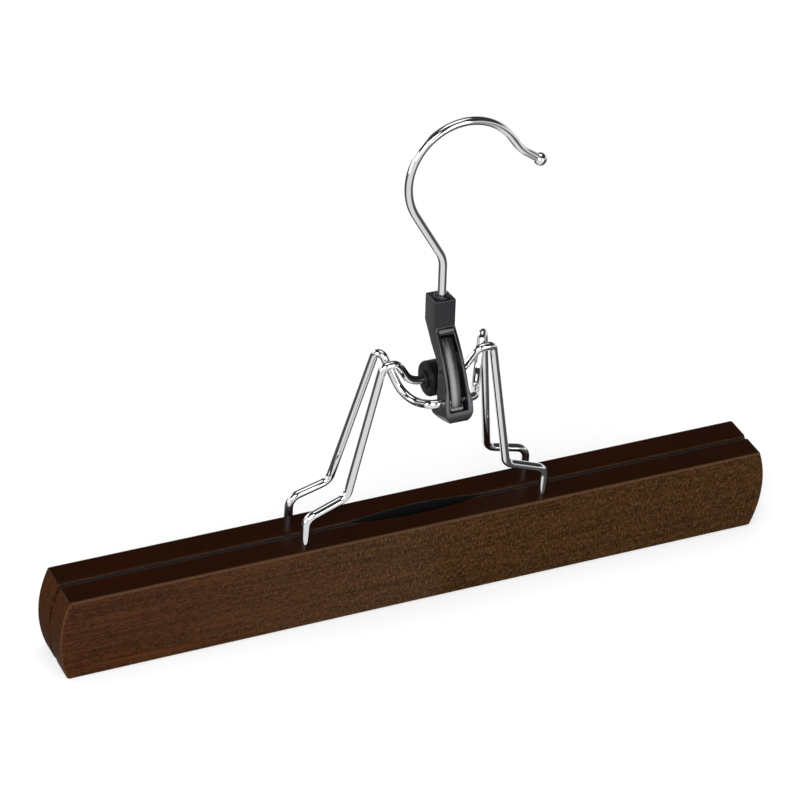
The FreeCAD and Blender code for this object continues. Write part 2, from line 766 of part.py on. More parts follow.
# Hook: a shank on the swivel axis, a bend to the left, a round crook and a tip turned outwards
# with a ball, all in one plane that leans back with the shank.
hookRadius = value("hook_radius")
crook = Vector(value("hook_center_offset"), 0, value("hook_center_height"))
bend = Vector(0, 0, value("hook_bend_height"))
toCrook = crook - bend
opening = math.degrees(math.asin(hookRadius / toCrook.Length))
diagonal = FreeCAD.Rotation(Vector(0, -1, 0), opening).multVec(toCrook).normalize()
reach = math.sqrt(toCrook.Length ** 2 - hookRadius ** 2)
touch = bend + diagonal * reach
bendSetback = value("hook_bend_radius") * math.tan(diagonal.getAngle(Vector(0, 0, 1)) / 2)
bendStart = bend - Vector(0, 0, bendSetback)
bendEnd = bend + diagonal * bendSetback
bisector = (diagonal - Vector(0, 0, 1)).normalize()
halfTurn = diagonal.getAngle(Vector(0, 0, 1)) / 2
bendMiddle = bend + bisector * (value("hook_bend_radius") / math.cos(halfTurn) - value("hook_bend_radius"))
leave = math.radians(value("hook_leave_angle"))
leavePoint = crook + Vector(math.cos(leave), 0, math.sin(leave)) * hookRadius
top = crook + Vector(0, 0, hookRadius)
fall = Vector(math.sin(leave), 0, -math.cos(leave))
outwards = FreeCAD.Rotation(Vector(0, -1, 0), value("hook_tip_turn")).multVec(fall)
tipCorner = leavePoint + fall * value("hook_tip_drop")
tip = tipCorner + outwards * value("hook_tip_length")
shankFoot = Vector(0, 0, -value("hook_bearing") - value("washer_thickness") - value("running_clearance") * 2)
hookEdges = [
    Part.LineSegment(shankFoot, bendStart).toShape(),
    Part.Arc(bendStart, bendMiddle, bendEnd).toShape(),
    Part.LineSegment(bendEnd, touch).toShape(),
    Part.Arc(touch, top, leavePoint).toShape(),
]
tipPath = bentPath([leavePoint, tipCorner, tip], [value("hook_tip_bend_radius")])
hookPath = Part.Wire(hookEdges + tipPath.Edges)
hookPath.Placement = hookFrame
hookRod = addSweep(
    "hook_rod",
    hookPath,
    size("hook_wire_diameter"),
    hookFrame.multVec(shankFoot),
    value("hook_lean"),
)
ball = doc.addObject("Part::Sphere", "hook_ball")
ball.setExpression("Radius", "Sizes.hook_ball_radius")
ball.Placement = FreeCAD.Placement(hookFrame.multVec(tip), hookTurn)
head = doc.addObject("Part::Cylinder", "hook_head")
head.setExpression("Radius", "Sizes.head_radius")
head.setExpression("Height", "Sizes.head_height")
headFoot = shankFoot - Vector(0, 0, value("head_height"))
head.Placement = FreeCAD.Placement(hookFrame.multVec(headFoot), hookTurn)
hook = doc.addObject("Part::MultiFuse", "hook")
hook.Shapes = [hookRod, ball, head]
hook.Label = "hook"

# Washer between the hook's head and the clasp block.
ring = doc.addObject("Part::Cylinder", "washer_ring")
ring.setExpression("Radius", "Sizes.washer_radius")
ring.setExpression("Height", "Sizes.washer_thickness")
ringFoot = shankFoot + Vector(0, 0, value("running_clearance"))
ring.Placement = FreeCAD.Placement(hookFrame.multVec(ringFoot), hookTurn)
ringHole = doc.addObject("Part::Cylinder", "washer_hole")
ringHole.setExpression("Radius", "Sizes.hook_wire_diameter / 2 + Sizes.running_clearance")
ringHole.setExpression("Height", "Sizes.washer_thickness * 3")
holeFoot = ringFoot - Vector(0, 0, value("washer_thickness"))
ringHole.Placement = FreeCAD.Placement(hookFrame.multVec(holeFoot), hookTurn)
washer = doc.addObject("Part::Cut", "hook_washer")
washer.Base = ring
washer.Tool = ringHole
washer.Label = "hook_washer"
doc.recompute()

pieces = [
    frontBar,
    rearBar,
    frontLining,
    rearLining,
    frontWire,
    rearWire,
    claspBody,
    lever,
    rollerBody,
    hook,
    washer,
]
for item in doc.Objects:
    if "Invalid" in item.State or "Error" in item.State:
        raise ValueError(item.Name + " failed: " + ", ".join(item.State))
for piece in pieces:
    if piece.Shape.isNull() or not piece.Shape.isValid() or len(piece.Shape.Solids) != 1:
        raise ValueError(piece.Label + " is not one valid solid")
os.makedirs("parts", exist_ok=True)
for piece in pieces:
    piece.Shape.exportStep("parts/" + piece.Label + ".step")
    print(piece.Label, "volume", round(piece.Shape.Volume, 1), "box", piece.Shape.BoundBox)
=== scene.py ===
import bpy
import bmesh
import math
from mathutils import Matrix, Vector, noise


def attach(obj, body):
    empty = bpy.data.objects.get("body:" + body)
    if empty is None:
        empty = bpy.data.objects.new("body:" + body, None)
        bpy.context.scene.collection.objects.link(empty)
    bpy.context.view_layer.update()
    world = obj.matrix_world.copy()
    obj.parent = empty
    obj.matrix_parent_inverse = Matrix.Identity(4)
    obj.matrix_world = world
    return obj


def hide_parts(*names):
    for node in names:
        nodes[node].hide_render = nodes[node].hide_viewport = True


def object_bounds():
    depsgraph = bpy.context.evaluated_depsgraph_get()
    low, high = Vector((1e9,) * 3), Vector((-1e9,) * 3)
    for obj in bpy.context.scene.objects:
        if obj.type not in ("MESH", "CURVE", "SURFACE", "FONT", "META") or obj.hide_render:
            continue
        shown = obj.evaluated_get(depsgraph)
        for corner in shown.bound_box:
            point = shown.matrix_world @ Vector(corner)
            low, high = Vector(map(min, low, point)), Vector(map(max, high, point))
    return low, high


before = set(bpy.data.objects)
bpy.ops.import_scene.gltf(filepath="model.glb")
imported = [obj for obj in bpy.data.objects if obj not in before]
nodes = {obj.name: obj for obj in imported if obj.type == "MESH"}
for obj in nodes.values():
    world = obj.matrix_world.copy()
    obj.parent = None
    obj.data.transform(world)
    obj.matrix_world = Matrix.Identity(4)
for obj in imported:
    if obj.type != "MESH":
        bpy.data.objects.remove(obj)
cadBox = [list(corner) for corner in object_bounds()]
scene = bpy.context.scene
scene.view_settings.view_transform = "Standard"
mm = 0.001
print("frame loaded:", len(nodes), "pieces")


# sRGB hex text to a linear colour
def linear(hexText):
    channels = [int(hexText[i:i + 2], 16) / 255 for i in (1, 3, 5)]
    return [c / 12.92 if c <= 0.04045 else ((c + 0.055) / 1.055) ** 2.4 for c in channels] + [1]


# one node with its settings, and links or plain values on its inputs
def addNode(tree, kind, settings, inputs):
    node = tree.nodes.new(kind)
    for key, setting in settings.items():
        setattr(node, key, setting)
    for key, source in inputs.items():
        if isinstance(source, bpy.types.NodeSocket):
            tree.links.new(source, node.inputs[key])
        else:
            node.inputs[key].default_value = source
    return node


# an empty material and its node tree
def newMaterial(name):
    material = bpy.data.materials.new(name)
    material.use_nodes = True
    material.node_tree.nodes.clear()
    return material, material.node_tree


# Stained beech under a thin satin lacquer: a brown face with fine pores, long soft streaks that turn
# redder towards one end and short upright ray flecks towards the other, near-black narrow top and bottom
# faces, and a paler line painted along the outer arrises as a highlight.
stainedBeech = {
    "face": "#472e18", "pore": "#190d02", "pale": "#604528", "red": "#48240e", "redPale": "#543018",
    # arris: a paler brown painted along the outer arrises as a highlight
    "edge": "#190800", "edgeRed": "#270c00", "arrisHighlight": "#634a33",
    # sizes of the grain in mm
    "poreWidth": 0.55, "poreLength": 1.5, "poreDepth": 0.04, "streakWidth": 1.1, "streakLength": 40,
    "rayWidth": 0.6, "rayLength": 1.6, "cloudSize": 38,
    # sizes of the bar in mm, and how far from its edges the near-black narrow faces and the painted arris
    # highlight begin and are full
    "barHeight": 30, "barLength": 250, "outerFace": 10.15, "endBulge": 3,
    "edgeStart": 0.8, "edgeFull": 0.1, "arrisStart": 0.8, "arrisFull": 0.55,
    # where along the bar the red is deepest and faintest
    "redPlace": -120, "brownPlace": 20,
    # how strongly each layer shows
    "redMost": 0.9, "redLeast": 0.12, "poreShare": 0.8, "fleckMost": 0.8, "fleckLeast": 0.12,
    "streakShare": 0.45, "arrisShare": 0.5, "endArrisShare": 0.35, "poreBump": 0.15,
    # noise values between which each layer fades in
    "poreBand": (0.62, 0.36), "fleckBand": (0.49, 0.69), "darkBand": (0.5, 0.7), "lightBand": (0.48, 0.26),
    "roughest": 0.4, "smoothest": 0.28, "index": 1.5, "gloss": 0.06,
}


def makeStainedBeech(p):
    material, tree = newMaterial("beech_stained_satin_lacquer")
    place = addNode(tree, "ShaderNodeTexCoord", {}, {}).outputs["Object"]
    axes = addNode(tree, "ShaderNodeSeparateXYZ", {}, {"Vector": place}).outputs
    alongMap = addNode(tree, "ShaderNodeMapping", {}, {
        "Vector": place, "Scale": [1 / (p["streakLength"] * mm)] + [1 / (p["streakWidth"] * mm)] * 2})
    streaks = addNode(tree, "ShaderNodeTexNoise", {}, {
        "Vector": alongMap.outputs["Vector"], "Scale": 1, "Detail": 3, "Roughness": 0.6, "Distortion": 0.3})
    rayMap = addNode(tree, "ShaderNodeMapping", {}, {
        "Vector": place, "Scale": [1 / (p["rayWidth"] * mm)] * 2 + [1 / (p["rayLength"] * mm)]})
    flecks = addNode(tree, "ShaderNodeTexNoise", {}, {
        "Vector": rayMap.outputs["Vector"], "Scale": 1, "Detail": 2, "Roughness": 0.55})
    poreMap = addNode(tree, "ShaderNodeMapping", {}, {
        "Vector": place, "Scale": [1 / (p["poreLength"] * mm)] + [1 / (p["poreWidth"] * mm)] * 2})
    pores = addNode(tree, "ShaderNodeTexNoise", {}, {
        "Vector": poreMap.outputs["Vector"], "Scale": 1, "Detail": 2, "Roughness": 0.7})
    cloud = addNode(tree, "ShaderNodeTexNoise", {}, {
        "Vector": place, "Scale": 1 / (p["cloudSize"] * mm), "Detail": 2, "Roughness": 0.5})
    # plain brown at one end of the bar, redder and streakier at the other
    towardsRed = addNode(tree, "ShaderNodeMapRange", {"interpolation_type": "SMOOTHSTEP"}, {
        "Value": axes["X"], "From Min": p["redPlace"] * mm, "From Max": p["brownPlace"] * mm,
        "To Min": p["redMost"], "To Max": p["redLeast"]})
    ground = addNode(tree, "ShaderNodeMix", {"data_type": "RGBA"}, {
        "Factor": towardsRed.outputs["Result"], "A": linear(p["face"]), "B": linear(p["red"])})
    poreDepth = addNode(tree, "ShaderNodeMapRange", {}, {
        "Value": pores.outputs["Fac"], "From Min": p["poreBand"][1], "From Max": p["poreBand"][0],
        "To Min": p["poreShare"], "To Max": 0})
    pored = addNode(tree, "ShaderNodeMix", {"data_type": "RGBA"}, {
        "Factor": poreDepth.outputs["Result"], "A": ground.outputs["Result"], "B": linear(p["pore"])})
    # ray flecks fade out where the red streaks begin
    fleckReach = addNode(tree, "ShaderNodeMapRange", {}, {
        "Value": towardsRed.outputs["Result"], "From Min": p["redLeast"], "From Max": p["redMost"],
        "To Min": p["fleckMost"], "To Max": p["fleckLeast"]})
    paleDepth = addNode(tree, "ShaderNodeMapRange", {}, {
        "Value": flecks.outputs["Fac"], "From Min": p["fleckBand"][0], "From Max": p["fleckBand"][1],
        "To Min": 0, "To Max": fleckReach.outputs["Result"]})
    flecked = addNode(tree, "ShaderNodeMix", {"data_type": "RGBA"}, {
        "Factor": paleDepth.outputs["Result"], "A": pored.outputs["Result"], "B": linear(p["pale"])})
    streakDepth = addNode(tree, "ShaderNodeMapRange", {}, {
        "Value": streaks.outputs["Fac"], "From Min": p["darkBand"][0], "From Max": p["darkBand"][1],
        "To Min": 0, "To Max": p["streakShare"]})
    darkened = addNode(tree, "ShaderNodeMix", {"data_type": "RGBA"}, {
        "Factor": streakDepth.outputs["Result"], "A": flecked.outputs["Result"], "B": linear(p["pore"])})
    lightStreak = addNode(tree, "ShaderNodeMapRange", {}, {
        "Value": streaks.outputs["Fac"], "From Min": p["lightBand"][0], "From Max": p["lightBand"][1],
        "To Min": 0, "To Max": towardsRed.outputs["Result"]})
    streaked = addNode(tree, "ShaderNodeMix", {"data_type": "RGBA"}, {
        "Factor": lightStreak.outputs["Result"], "A": darkened.outputs["Result"], "B": linear(p["redPale"])})
    # narrow top and bottom faces: near-black, with a reddish drift by a cloud noise
    edgeTone = addNode(tree, "ShaderNodeMix", {"data_type": "RGBA"}, {
        "Factor": cloud.outputs["Fac"], "A": linear(p["edge"]), "B": linear(p["edgeRed"])})
    halfHeight = p["barHeight"] / 2
    fromMiddle = addNode(tree, "ShaderNodeMath", {"operation": "SUBTRACT"}, {
        0: axes["Z"], 1: halfHeight * mm})
    reach = addNode(tree, "ShaderNodeMath", {"operation": "ABSOLUTE"}, {0: fromMiddle.outputs[0]})
    atEdge = addNode(tree, "ShaderNodeMapRange", {"interpolation_type": "SMOOTHSTEP"}, {
        "Value": reach.outputs[0], "From Min": (halfHeight - p["edgeStart"]) * mm,
        "From Max": (halfHeight - p["edgeFull"]) * mm, "To Min": 0, "To Max": 1})
    edgesDarkened = addNode(tree, "ShaderNodeMix", {"data_type": "RGBA"}, {
        "Factor": atEdge.outputs["Result"], "A": streaked.outputs["Result"], "B": edgeTone.outputs["Result"]})
    # painted highlight on the upper outer arris, where height and depth together are greatest
    depth = addNode(tree, "ShaderNodeMath", {"operation": "ABSOLUTE"}, {0: axes["Y"]})
    corner = addNode(tree, "ShaderNodeMath", {"operation": "ADD"}, {0: depth.outputs[0], 1: axes["Z"]})
    flush = p["barHeight"] + p["outerFace"]
    atArrisHighlight = addNode(tree, "ShaderNodeMapRange", {"interpolation_type": "SMOOTHSTEP"}, {
        "Value": corner.outputs[0], "From Min": (flush - p["arrisStart"]) * mm,
        "From Max": (flush - p["arrisFull"]) * mm, "To Min": 0, "To Max": p["arrisShare"]})
    arrisHighlighted = addNode(tree, "ShaderNodeMix", {"data_type": "RGBA"}, {
        "Factor": atArrisHighlight.outputs["Result"], "A": edgesDarkened.outputs["Result"], "B": linear(p["arrisHighlight"])})
    # painted highlight on the upright outer arrises of the bulging ends
    alongBar = addNode(tree, "ShaderNodeMath", {"operation": "ABSOLUTE"}, {0: axes["X"]})
    square = addNode(tree, "ShaderNodeMath", {"operation": "POWER"}, {0: reach.outputs[0], 1: 2})
    bulged = addNode(tree, "ShaderNodeMath", {"operation": "MULTIPLY_ADD"}, {
        0: square.outputs[0], 1: p["endBulge"] / halfHeight ** 2 / mm, 2: alongBar.outputs[0]})
    endCorner = addNode(tree, "ShaderNodeMath", {"operation": "ADD"}, {
        0: bulged.outputs[0], 1: depth.outputs[0]})
    endFlush = p["barLength"] / 2 + p["outerFace"]
    atEndArrisHighlight = addNode(tree, "ShaderNodeMapRange", {"interpolation_type": "SMOOTHSTEP"}, {
        "Value": endCorner.outputs[0], "From Min": (endFlush - p["arrisStart"]) * mm,
        "From Max": (endFlush - p["arrisFull"]) * mm, "To Min": 0, "To Max": p["endArrisShare"]})
    endArrisHighlighted = addNode(tree, "ShaderNodeMix", {"data_type": "RGBA"}, {
        "Factor": atEndArrisHighlight.outputs["Result"], "A": arrisHighlighted.outputs["Result"], "B": linear(p["arrisHighlight"])})
    bump = addNode(tree, "ShaderNodeBump", {}, {
        "Height": pores.outputs["Fac"], "Strength": p["poreBump"], "Distance": p["poreDepth"] * mm})
    satin = addNode(tree, "ShaderNodeMapRange", {}, {
        "Value": streaks.outputs["Fac"], "To Min": p["roughest"], "To Max": p["smoothest"]})
    shader = addNode(tree, "ShaderNodeBsdfPrincipled", {}, {
        "Base Color": endArrisHighlighted.outputs["Result"], "Roughness": satin.outputs["Result"],
        "Normal": bump.outputs["Normal"], "IOR": p["index"], "Specular IOR Level": p["gloss"]})
    addNode(tree, "ShaderNodeOutputMaterial", {}, {"Surface": shader.outputs["BSDF"]})
    return material


# Chrome plate on drawn wire: a hard mirror with a faint haze from the wire under it.
# Plain stamped steel, for the washer: greyer and duller than the plated wire.
metals = {
    "chrome_wire": {"name": "chrome_plated_wire", "colour": "#d6d6d8", "hazeSize": 0.25, "detail": 2,
                    "smoothest": 0.04, "roughest": 0.1},
    "plain_steel": {"name": "plain_stamped_steel", "colour": "#b4b4b6", "hazeSize": 0.4, "detail": 3,
                    "smoothest": 0.25, "roughest": 0.42},
}


def makeMetal(p):
    material, tree = newMaterial(p["name"])
    place = addNode(tree, "ShaderNodeTexCoord", {}, {}).outputs["Object"]
    cloud = addNode(tree, "ShaderNodeTexNoise", {}, {
        "Vector": place, "Scale": 1 / (p["hazeSize"] * mm), "Detail": p["detail"]})
    haze = addNode(tree, "ShaderNodeMapRange", {}, {
        "Value": cloud.outputs["Fac"], "To Min": p["smoothest"], "To Max": p["roughest"]})
    shader = addNode(tree, "ShaderNodeBsdfPrincipled", {}, {
        "Base Color": linear(p["colour"]), "Metallic": 1, "Roughness": haze.outputs["Result"]})
    addNode(tree, "ShaderNodeOutputMaterial", {}, {"Surface": shader.outputs["BSDF"]})
    return material


# Moulded black plastics: ABS with a fine spark-eroded grain on the clasp, smooth shining ABS on the
# lever, and duller nylon on the roller, each slightly uneven where it flowed into the mould.
plastics = {
    "black_plastic": {"name": "black_abs_fine_grain", "colour": "#0c0e15", "rough": 0.24,
                      "grain": 0.35, "depth": 0.008, "gloss": 0.45},
    "black_gloss_plastic": {"name": "black_abs_smooth", "colour": "#0b0b0d", "rough": 0.22,
                            "grain": 1.5, "depth": 0.005, "gloss": 0.8},
    "black_nylon": {"name": "black_nylon_matte", "colour": "#050506", "rough": 0.5,
                    "grain": 0.5, "depth": 0.01, "gloss": 0.15},
}
moulding = {"flowColour": "#131418", "flowSize": 5.56, "roughSpread": 0.15, "grainBump": 0.35, "index": 1.53}


def makePlastic(p, shared):
    material, tree = newMaterial(p["name"])
    place = addNode(tree, "ShaderNodeTexCoord", {}, {}).outputs["Object"]
    pits = addNode(tree, "ShaderNodeTexNoise", {}, {
        "Vector": place, "Scale": 1 / (p["grain"] * mm), "Detail": 2, "Roughness": 0.6})
    flow = addNode(tree, "ShaderNodeTexNoise", {}, {
        "Vector": place, "Scale": 1 / (shared["flowSize"] * mm), "Detail": 2})
    shine = addNode(tree, "ShaderNodeMapRange", {}, {
        "Value": flow.outputs["Fac"], "To Min": p["rough"] * (1 - shared["roughSpread"]),
        "To Max": p["rough"] * (1 + shared["roughSpread"])})
    tint = addNode(tree, "ShaderNodeMix", {"data_type": "RGBA"}, {
        "Factor": flow.outputs["Fac"], "A": linear(p["colour"]), "B": linear(shared["flowColour"])})
    bump = addNode(tree, "ShaderNodeBump", {}, {
        "Height": pits.outputs["Fac"], "Strength": shared["grainBump"], "Distance": p["depth"] * mm})
    shader = addNode(tree, "ShaderNodeBsdfPrincipled", {}, {
        "Base Color": tint.outputs["Result"], "Roughness": shine.outputs["Result"],
        "Normal": bump.outputs["Normal"], "IOR": shared["index"], "Specular IOR Level": p["gloss"]})
    addNode(tree, "ShaderNodeOutputMaterial", {}, {"Surface": shader.outputs["BSDF"]})
    return material


# Needled wool felt: matte black with a short matted nap that catches a little light at its rim.
woolFelt = {
    "dark": "#030303", "light": "#100f0f", "napSize": 0.5, "napDepth": 0.12, "napBump": 0.6,
    "rough": 0.95, "sheen": 0.05, "sheenRough": 0.5, "gloss": 0.1,
}


def makeFelt(p):
    material, tree = newMaterial("black_wool_felt")
    place = addNode(tree, "ShaderNodeTexCoord", {}, {}).outputs["Object"]
    nap = addNode(tree, "ShaderNodeTexNoise", {}, {
        "Vector": place, "Scale": 1 / (p["napSize"] * mm), "Detail": 4, "Roughness": 0.7, "Distortion": 1.2})
    tint = addNode(tree, "ShaderNodeMix", {"data_type": "RGBA"}, {
        "Factor": nap.outputs["Fac"], "A": linear(p["dark"]), "B": linear(p["light"])})
    bump = addNode(tree, "ShaderNodeBump", {}, {
        "Height": nap.outputs["Fac"], "Strength": p["napBump"], "Distance": p["napDepth"] * mm})
    shader = addNode(tree, "ShaderNodeBsdfPrincipled", {}, {
        "Base Color": tint.outputs["Result"], "Roughness": p["rough"], "Normal": bump.outputs["Normal"],
        "Sheen Weight": p["sheen"], "Sheen Roughness": p["sheenRough"], "Specular IOR Level": p["gloss"]})
    addNode(tree, "ShaderNodeOutputMaterial", {}, {"Surface": shader.outputs["BSDF"]})
    return material


finishes = {"walnut_wood": makeStainedBeech(stainedBeech), "black_felt": makeFelt(woolFelt)}
finishes.update({key: makeMetal(p) for key, p in metals.items()})
finishes.update({key: makePlastic(p, moulding) for key, p in plastics.items()})


def dress(piece, finish):
    piece.data.materials.clear()
    piece.data.materials.append(finishes[finish])


dressed = {
    "front_bar": "walnut_wood", "rear_bar": "walnut_wood", "front_wire": "chrome_wire",
    "rear_wire": "chrome_wire", "hook": "chrome_wire", "hook_washer": "plain_steel",
}
for nodeName, finish in dressed.items():
    dress(nodes[nodeName], finish)
print("finishes:", len(finishes))


# Moulded pieces: the solid's own faces with the rounded edges that a mould leaves. Widths are in mm,
# and fold is the least angle in degrees between two faces whose edge is rounded.
moulded = {
    "clasp": {"node": "clasp_body", "body": "rear_jaw", "slot": "black_plastic", "finish": "black_plastic",
              "fold": 25, "roundWidth": 0.35},
    "lever": {"node": "lock_lever", "body": "lever", "slot": "black_gloss_plastic",
              "finish": "black_gloss_plastic", "fold": 40, "roundWidth": 0.2,
              "crown": {"halfWidth": 1.9, "margin": 0.05, "depth": 0.17, "cuts": 7, "slant": 26,
                        "facing": 0.9}},
    "roller": {"node": "cam_roller", "body": "roller", "slot": "black_plastic", "finish": "black_nylon",
               "fold": 20, "roundWidth": 0.35},
}
meshing = {"weld": 0.001, "flatWithin": 1.5, "roundSegments": 3, "roundProfile": 0.5, "sharpFrom": 35}


# the long front of a rib of the given half width falls away to both sides
def crownRib(bm, p):
    slant = math.radians(p["slant"])
    forwards = Vector((0, -math.cos(slant), math.sin(slant)))
    widest = (p["halfWidth"] + p["margin"]) * mm

    def ribFront():
        return [face for face in bm.faces if face.normal.dot(forwards) > p["facing"]
                and max(abs(vert.co.x) for vert in face.verts) < widest]

    across = {edge for face in ribFront() for edge in face.edges
              if edge.verts[0].co.x * edge.verts[1].co.x < 0}
    bmesh.ops.subdivide_edges(bm, edges=list(across), cuts=p["cuts"], use_grid_fill=True)
    bm.normal_update()
    for vert in {vert for face in ribFront() for vert in face.verts}:
        fall = p["depth"] * (vert.co.x / mm / p["halfWidth"]) ** 2
        vert.co -= forwards * fall * mm
    bm.normal_update()
    print("rib crowned, edges cut:", len(across))


def makeMoulded(name, p, shared):
    bm = bmesh.new()
    bm.from_mesh(nodes[p["node"]].data)
    bmesh.ops.remove_doubles(bm, verts=bm.verts, dist=shared["weld"] * mm)
    bmesh.ops.dissolve_limit(bm, angle_limit=math.radians(shared["flatWithin"]),
                             verts=bm.verts, edges=bm.edges)
    if "crown" in p:
        crownRib(bm, p["crown"])
    fold = math.radians(p["fold"])
    rim = [edge for edge in bm.edges if edge.is_manifold and edge.calc_face_angle_signed() >= fold]
    bmesh.ops.bevel(bm, geom=rim, offset=p["roundWidth"] * mm, offset_type="OFFSET", affect="EDGES",
                    segments=shared["roundSegments"], profile=shared["roundProfile"], material=-1,
                    clamp_overlap=False)
    print(name, "edges rounded:", len(rim), "faces:", len(bm.faces))
    mesh = bpy.data.meshes.new(name)
    bm.to_mesh(mesh)
    bm.free()
    mesh.shade_smooth()
    mesh.set_sharp_from_angle(angle=math.radians(shared["sharpFrom"]))
    piece = bpy.data.objects.new(name, mesh)
    scene.collection.objects.link(piece)
    evened = piece.modifiers.new("even_faces", "WEIGHTED_NORMAL")
    evened.keep_sharp = True
    dress(piece, p["finish"])
    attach(piece, p["body"])
    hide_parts(p["node"])


for pieceName, sizes in moulded.items():
    makeMoulded(pieceName, sizes, meshing)
print("moulded pieces made")


# Felt strips, in mm: cut flat, glued to the clamping faces and pressed into the hollow of the bars,
# which takes up the dip in their cut length. The long edges fray a little, by a noise with rates per
# mm, in which the two strips lie apart.
felt = {
    "length": 242, "height": 28.8, "foot": 0.6, "thickness": 0.6, "seat": 0.65, "dip": 0.4,
    "hollowLength": 47, "hollowDepth": 2.4, "columns": 180, "rows": 12,
    "edgeFray": 0.12, "frayAlong": 0.9, "frayUp": 0.4, "frayApart": 7, "edgeReach": 0.01,
}


def makeFeltStrip(name, body, node, side, p):
    bm = bmesh.new()
    bmesh.ops.create_grid(bm, x_segments=p["columns"], y_segments=p["rows"], size=0.5)
    bmesh.ops.scale(bm, vec=(p["length"], p["height"], 1), verts=bm.verts)
    bmesh.ops.rotate(bm, matrix=Matrix.Rotation(math.radians(90), 3, "X"), verts=bm.verts)
    half = p["hollowLength"] / 2
    hollowRadius = (half ** 2 + p["hollowDepth"] ** 2) / (2 * p["hollowDepth"])
    middle = p["height"] / 2
    for vert in bm.verts:
        x, z = vert.co.x, vert.co.z
        sink = 0
        if abs(x) < half:
            sink = math.sqrt(hollowRadius ** 2 - x ** 2) - hollowRadius + p["hollowDepth"]
        wave = noise.noise(Vector((x * p["frayAlong"], side * p["frayApart"], z * p["frayUp"])))
        if abs(abs(z) - middle) < p["edgeReach"]:
            vert.co.z = z - math.copysign(abs(wave * p["edgeFray"]), z)
        vert.co.y = side * (p["seat"] + sink)
        vert.co.z += p["foot"] + middle
    bmesh.ops.scale(bm, vec=(mm, mm, mm), verts=bm.verts)
    bmesh.ops.recalc_face_normals(bm, faces=bm.faces)
    if next(iter(bm.faces)).normal.y * side < 0:
        bmesh.ops.reverse_faces(bm, faces=bm.faces)
    mesh = bpy.data.meshes.new(name)
    bm.to_mesh(mesh)
    bm.free()
    mesh.shade_smooth()
    strip = bpy.data.objects.new(name, mesh)
    scene.collection.objects.link(strip)
    wall = strip.modifiers.new("felt_thickness", "SOLIDIFY")
    wall.thickness = p["thickness"] * mm
    wall.offset = -1
    dress(strip, "black_felt")
    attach(strip, body)
    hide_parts(node)


makeFeltStrip("felt_front", "front_jaw", "front_lining", -1, felt)
makeFeltStrip("felt_rear", "rear_jaw", "rear_lining", 1, felt)
print("felt strips made")


# White paper sweep under the part, with distances in metres. The lamps light only its middle, so its
# far parts glow more to stay white. Metal sees a dim flag on either side of it, which draws dark lines
# along the round of the wires.
paperSweep = {
    "halfSize": 6, "paper": "#cecece", "white": "#ffffff",
    "glowNear": 0.47, "glowFar": 0.97, "nearEdge": 0.3, "farEdge": 2.4,
    "flagSide": (0.885, -0.465, 0), "flagStart": 0.68, "flagFull": 0.93, "reflected": 1, "flagLevel": 0.1,
}


def makeSweep(p):
    mesh = bpy.data.meshes.new("floor")
    bm = bmesh.new()
    bmesh.ops.create_grid(bm, x_segments=1, y_segments=1, size=p["halfSize"])
    bmesh.ops.translate(bm, vec=(0, 0, cadBox[0][2]), verts=bm.verts)
    bm.to_mesh(mesh)
    bm.free()
    floor = bpy.data.objects.new("floor", mesh)
    scene.collection.objects.link(floor)
    paper, tree = newMaterial("white_paper_sweep")
    rays = addNode(tree, "ShaderNodeLightPath", {}, {})
    spot = addNode(tree, "ShaderNodeTexCoord", {}, {}).outputs["Object"]
    away = addNode(tree, "ShaderNodeVectorMath", {"operation": "LENGTH"}, {0: spot})
    whitening = addNode(tree, "ShaderNodeMapRange", {"interpolation_type": "SMOOTHSTEP"}, {
        "Value": away.outputs["Value"], "From Min": p["nearEdge"], "From Max": p["farEdge"],
        "To Min": p["glowNear"], "To Max": p["glowFar"]})
    seen = addNode(tree, "ShaderNodeMath", {"operation": "MAXIMUM"}, {
        0: rays.outputs["Is Camera Ray"], 1: rays.outputs["Is Transmission Ray"]})
    lift = addNode(tree, "ShaderNodeMath", {"operation": "MULTIPLY"}, {
        0: seen.outputs[0], 1: whitening.outputs["Result"]})
    matte = addNode(tree, "ShaderNodeBsdfDiffuse", {}, {"Color": linear(p["paper"])})
    glow = addNode(tree, "ShaderNodeEmission", {}, {"Color": linear(p["white"]), "Strength": lift.outputs[0]})
    lit = addNode(tree, "ShaderNodeAddShader", {}, {0: matte.outputs[0], 1: glow.outputs[0]})
    bearing = addNode(tree, "ShaderNodeVectorMath", {"operation": "NORMALIZE"}, {0: spot})
    aside = addNode(tree, "ShaderNodeVectorMath", {"operation": "DOT_PRODUCT"}, {
        0: bearing.outputs["Vector"], 1: p["flagSide"]})
    share = addNode(tree, "ShaderNodeMath", {"operation": "ABSOLUTE"}, {0: aside.outputs["Value"]})
    flags = addNode(tree, "ShaderNodeMapRange", {"interpolation_type": "SMOOTHSTEP"}, {
        "Value": share.outputs[0], "From Min": p["flagStart"], "From Max": p["flagFull"],
        "To Min": p["reflected"], "To Max": p["flagLevel"]})
    mirrored = addNode(tree, "ShaderNodeEmission", {}, {
        "Color": linear(p["white"]), "Strength": flags.outputs["Result"]})
    sweep = addNode(tree, "ShaderNodeMixShader", {}, {
        0: rays.outputs["Is Glossy Ray"], 1: lit.outputs[0], 2: mirrored.outputs[0]})
    addNode(tree, "ShaderNodeOutputMaterial", {}, {"Surface": sweep.outputs[0]})
    mesh.materials.append(paper)


# The room: white to the camera, a soft even light on the part, and to metal and gloss a white wall up
# to a little above the horizon with a dim ceiling over it.
studio = {
    "white": "#ffffff", "ambient": 0.35, "wall": 1, "wallTop": 0.12, "ceilingStart": 0.4, "ceiling": 0.05,
}


